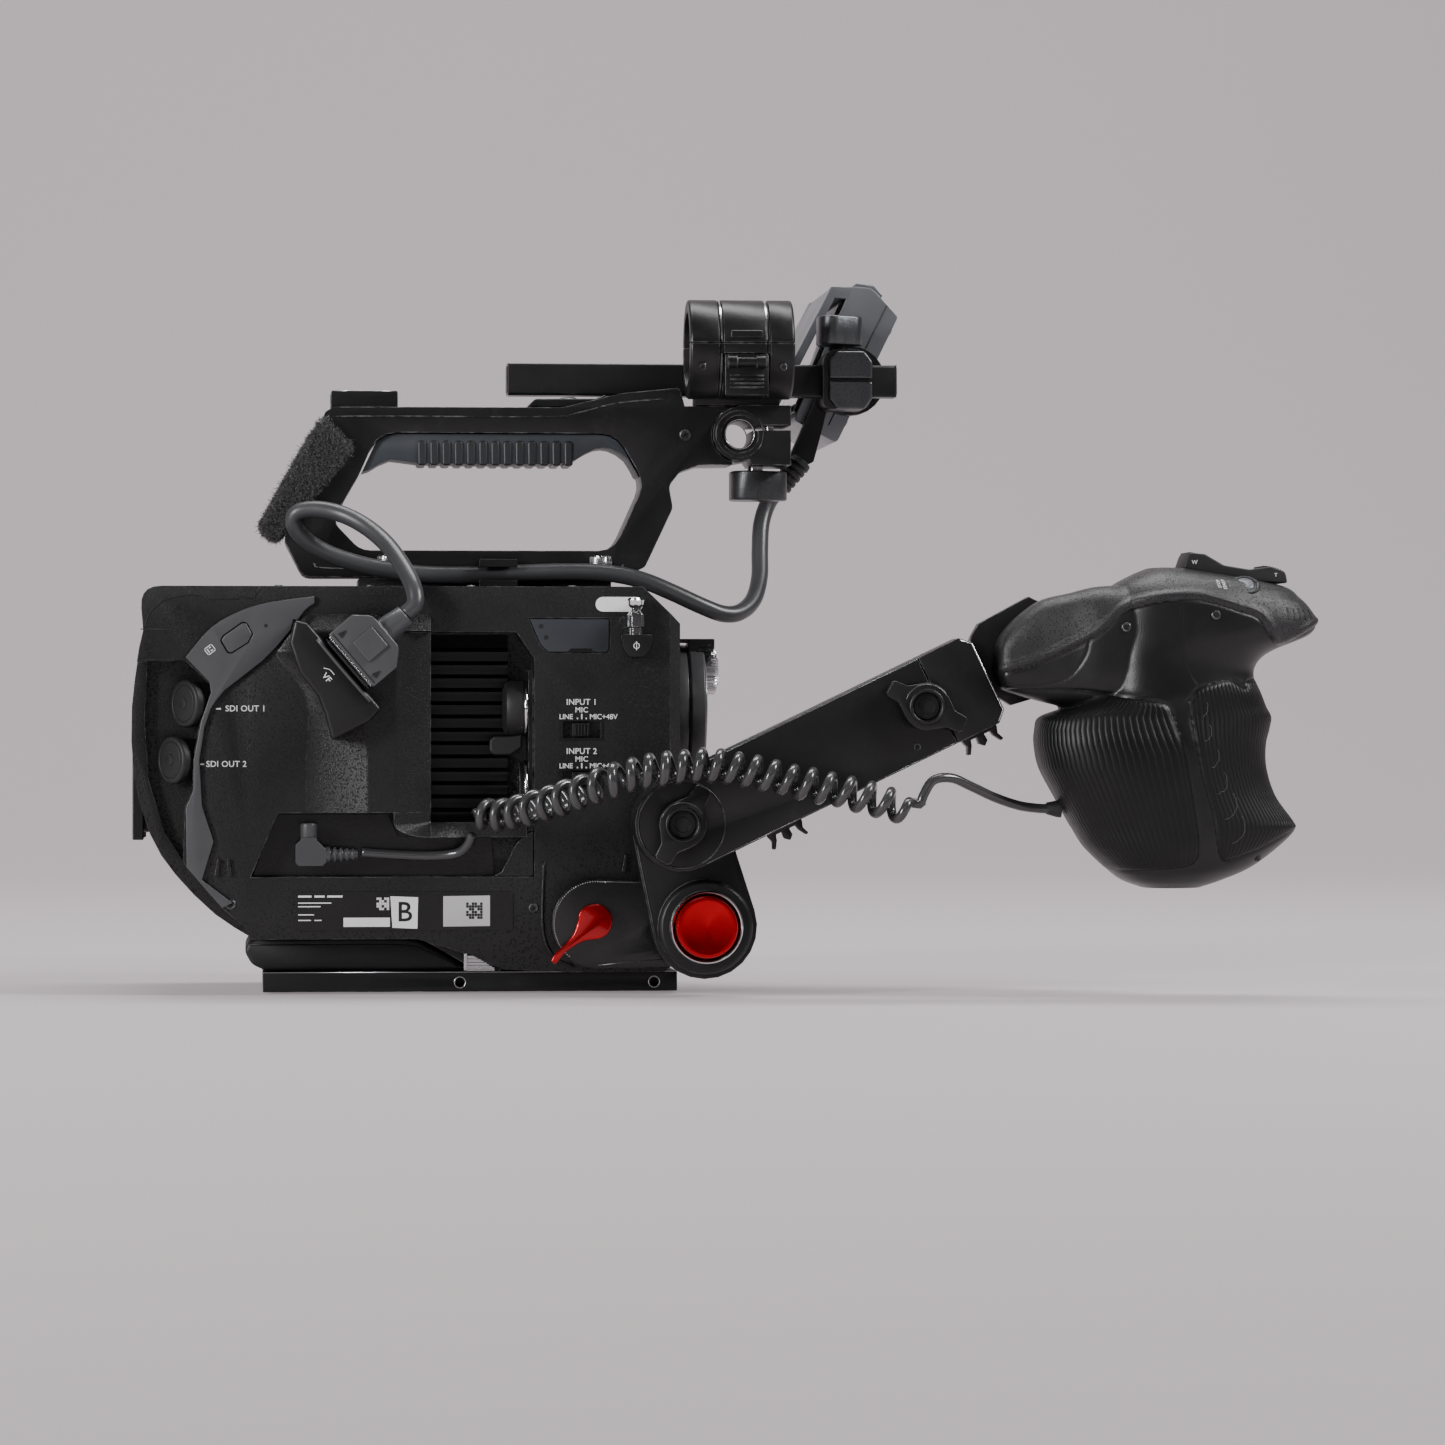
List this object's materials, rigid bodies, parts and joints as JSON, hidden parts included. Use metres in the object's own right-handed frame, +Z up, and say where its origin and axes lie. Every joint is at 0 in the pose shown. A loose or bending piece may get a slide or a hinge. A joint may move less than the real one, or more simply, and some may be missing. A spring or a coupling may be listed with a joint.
{
  "type": "cinema camera rig",
  "caption": "Shoulder cinema camera with top handle, sliding tilting monitor, microphone holder, telescoping grip arm and a coiled cord",
  "frame": {"origin": "centre of the base plate's bottom face", "axes": "+X from the camera's back towards the lens mount, +Z up, -Y towards the handgrip side"},
  "size_m": [0.4646, 0.2398, 0.2866],
  "materials": {
    "bare_metal": "knurled, bright",
    "black_anodised": "black anodised",
    "black_plastic": "matte",
    "black_rubber": "matte",
    "body_alloy": "fine speckled satin paint",
    "cable_jacket": "satin",
    "cell_pack": "matte plastic skin over dense cells",
    "circuit_green": "matte",
    "grey_metal": "satin",
    "loop_pile": "fuzzy",
    "red_anodised": "gloss anodised",
    "satin_grey": "satin"
  },
  "bodies": {
    "camera": {"chassis": "body_alloy", "casing_right": "body_alloy", "casing_left": "body_alloy", "side_strip": "satin_grey", "vent_grille": "black_plastic", "xlr_panel": "black_anodised", "side_cover": "grey_metal", "tape_hook": "black_plastic", "vf_socket": "black_plastic", "vf_plug": "black_plastic", "grip_plug": "cable_jacket", "mount_base": "black_anodised", "sensor_block": "black_anodised", "main_board": "circuit_green", "cooling_fan": "black_plastic", "base_plate": "black_anodised", "shoulder_pad": "black_rubber", "handle_frame": "black_anodised", "handle_rubber": "black_rubber", "accessory_shoe": "black_anodised", "velcro_pad": "loop_pile", "mic_holder_base": "black_anodised", "vf_rod": "black_anodised", "evf_clamp": "black_anodised", "side_bracket": "black_anodised", "vf_cable": "cable_jacket", "grip_lead": "cable_jacket", "grip_coil_1": "cable_jacket"},
    "sdi_cap_1_body": {"sdi_cap_1": "black_rubber"},
    "sdi_cap_2_body": {"sdi_cap_2": "black_rubber"},
    "display_button_body": {"display_button": "satin_grey"},
    "input_switch_1_body": {"input_switch_1": "black_plastic"},
    "input_switch_2_body": {"input_switch_2": "black_plastic"},
    "lock_ring_body": {"lock_ring": "black_anodised"},
    "mount_knob_body": {"mount_knob": "bare_metal"},
    "battery_body": {"battery_pack": "cell_pack"},
    "media_door_body": {"media_door": "black_plastic"},
    "nd_dial_body": {"nd_dial": "grey_metal"},
    "evf_knob_body": {"evf_clamp_knob": "grey_metal"},
    "mic_lid_body": {"mic_holder_lid": "black_anodised"},
    "mic_latch_body": {"mic_latch": "black_anodised"},
    "vf_slide_body": {"vf_clamp": "grey_metal"},
    "vf_knob_body": {"vf_clamp_knob": "grey_metal"},
    "monitor_body": {"monitor": "satin_grey"},
    "link_body": {"link_plate": "black_anodised", "grip_coil_2": "cable_jacket"},
    "push_button_body": {"push_button": "red_anodised"},
    "bracket_lever_body": {"bracket_lever": "red_anodised"},
    "arm_body": {"arm_tube": "black_anodised", "grip_coil_3": "cable_jacket"},
    "lower_wing_body": {"wing_lever_lower": "black_anodised"},
    "upper_wing_body": {"wing_lever_upper": "black_anodised"},
    "extension_body": {"arm_extension": "black_anodised", "grip_tail": "cable_jacket"},
    "grip_body": {"grip_core": "black_plastic", "grip_top_shell": "black_plastic", "grip_palm_rubber": "black_rubber", "grip_finger_rubber": "black_rubber"},
    "rocker_body": {"zoom_rocker": "black_rubber"},
    "rec_button_body": {"rec_button": "grey_metal"}
  },
  "joints": [
    {"name": "sdi_cap_1_pull", "type": "slide", "parent": "camera", "child": "sdi_cap_1_body", "axis": [-0.8202, -0.5721, 0], "range_m": [0, 0.01]},
    {"name": "sdi_cap_2_pull", "type": "slide", "parent": "camera", "child": "sdi_cap_2_body", "axis": [-0.8202, -0.5721, 0], "range_m": [0, 0.01]},
    {"name": "display_button_press", "type": "slide", "parent": "camera", "child": "display_button_body", "axis": [0, 1, 0], "range_m": [0, 0.001], "stiffness_N_per_m": 300, "springref_m": -0.0005},
    {"name": "input_switch_1_slide", "type": "slide", "parent": "camera", "child": "input_switch_1_body", "axis": [1, 0, 0], "range_m": [-0.003, 0.003]},
    {"name": "input_switch_2_slide", "type": "slide", "parent": "camera", "child": "input_switch_2_body", "axis": [1, 0, 0], "range_m": [-0.003, 0.003]},
    {"name": "lock_ring_turn", "type": "hinge", "parent": "camera", "child": "lock_ring_body", "pos_m": [0.092, 0, 0.112], "axis": [1, 0, 0], "range_deg": [0, 60]},
    {"name": "mount_knob_turn", "type": "hinge", "parent": "lock_ring_body", "child": "mount_knob_body", "pos_m": [0.0961, 0.012, 0.1274], "axis": [1, 0, 0], "range_deg": [-135, 135]},
    {"name": "battery_slide", "type": "slide", "parent": "camera", "child": "battery_body", "axis": [-1, 0, 0], "range_m": [0, 0.06]},
    {"name": "media_door_swing", "type": "hinge", "parent": "camera", "child": "media_door_body", "pos_m": [-0.0402, 0.0615, 0.095], "axis": [0, 0, 1], "range_deg": [0, 100]},
    {"name": "nd_dial_turn", "type": "hinge", "parent": "camera", "child": "nd_dial_body", "pos_m": [0.06, 0.062, 0.058], "axis": [0, 1, 0], "range_deg": [0, 270]},
    {"name": "evf_knob_turn", "type": "hinge", "parent": "camera", "child": "evf_knob_body", "pos_m": [0.1176, 0, 0.2], "axis": [0, 0, 1], "range_deg": [-180, 180]},
    {"name": "mic_lid_swing", "type": "hinge", "parent": "camera", "child": "mic_lid_body", "pos_m": [0.109, -0.0012, 0.2584], "axis": [1, 0, 0], "range_deg": [-80, 0]},
    {"name": "mic_latch_swing", "type": "hinge", "parent": "camera", "child": "mic_latch_body", "pos_m": [0.11, -0.0396, 0.239], "axis": [1, 0, 0], "range_deg": [0, 70]},
    {"name": "vf_clamp_slide", "type": "slide", "parent": "camera", "child": "vf_slide_body", "axis": [1, 0, 0], "range_m": [0, 0.01]},
    {"name": "vf_knob_turn", "type": "hinge", "parent": "vf_slide_body", "child": "vf_knob_body", "pos_m": [0.1518, 0.0072, 0.265], "axis": [0, 0, 1], "range_deg": [-180, 180]},
    {"name": "monitor_tilt", "type": "hinge", "parent": "vf_slide_body", "child": "monitor_body", "pos_m": [0.1587, 0.0254, 0.2473], "axis": [0, 1, 0], "range_deg": [-30, 60]},
    {"name": "link_swing", "type": "hinge", "parent": "camera", "child": "link_body", "pos_m": [0.0904, -0.068, 0.0268], "axis": [0, 1, 0], "range_deg": [0, 25]},
    {"name": "push_button_press", "type": "slide", "parent": "link_body", "child": "push_button_body", "axis": [0, 1, 0], "range_m": [0, 0.002], "stiffness_N_per_m": 800, "springref_m": -0.001},
    {"name": "bracket_lever_turn", "type": "hinge", "parent": "camera", "child": "bracket_lever_body", "pos_m": [0.0477, -0.068, 0.0286], "axis": [0, 1, 0], "range_deg": [0, 90]},
    {"name": "arm_swing", "type": "hinge", "parent": "link_body", "child": "arm_body", "pos_m": [0.0798, -0.09, 0.0672], "axis": [0, 1, 0], "range_deg": [0, 30]},
    {"name": "lower_wing_turn", "type": "hinge", "parent": "arm_body", "child": "lower_wing_body", "pos_m": [0.0798, -0.1, 0.0672], "axis": [0, 1, 0], "range_deg": [0, 90]},
    {"name": "upper_wing_turn", "type": "hinge", "parent": "arm_body", "child": "upper_wing_body", "pos_m": [0.17495, -0.1, 0.11299], "axis": [0, 1, 0], "range_deg": [0, 90]},
    {"name": "arm_extend", "type": "slide", "parent": "arm_body", "child": "extension_body", "axis": [0.9011, 0, 0.4337], "range_m": [0, 0.055]},
    {"name": "grip_swing", "type": "hinge", "parent": "extension_body", "child": "grip_body", "pos_m": [0.2137, -0.09, 0.1292], "axis": [0, 1, 0], "range_deg": [-30, 0]},
    {"name": "rocker_tilt", "type": "hinge", "parent": "grip_body", "child": "rocker_body", "pos_m": [0.298, -0.09, 0.1626], "axis": [0, 1, 0], "range_deg": [-5, 5], "stiffness_Nm_per_rad": 0.05},
    {"name": "rec_button_press", "type": "slide", "parent": "grip_body", "child": "rec_button_body", "axis": [0, 0.6, -0.8], "range_m": [0, 0.0012], "stiffness_N_per_m": 300, "springref_m": -0.0005}
  ]
}
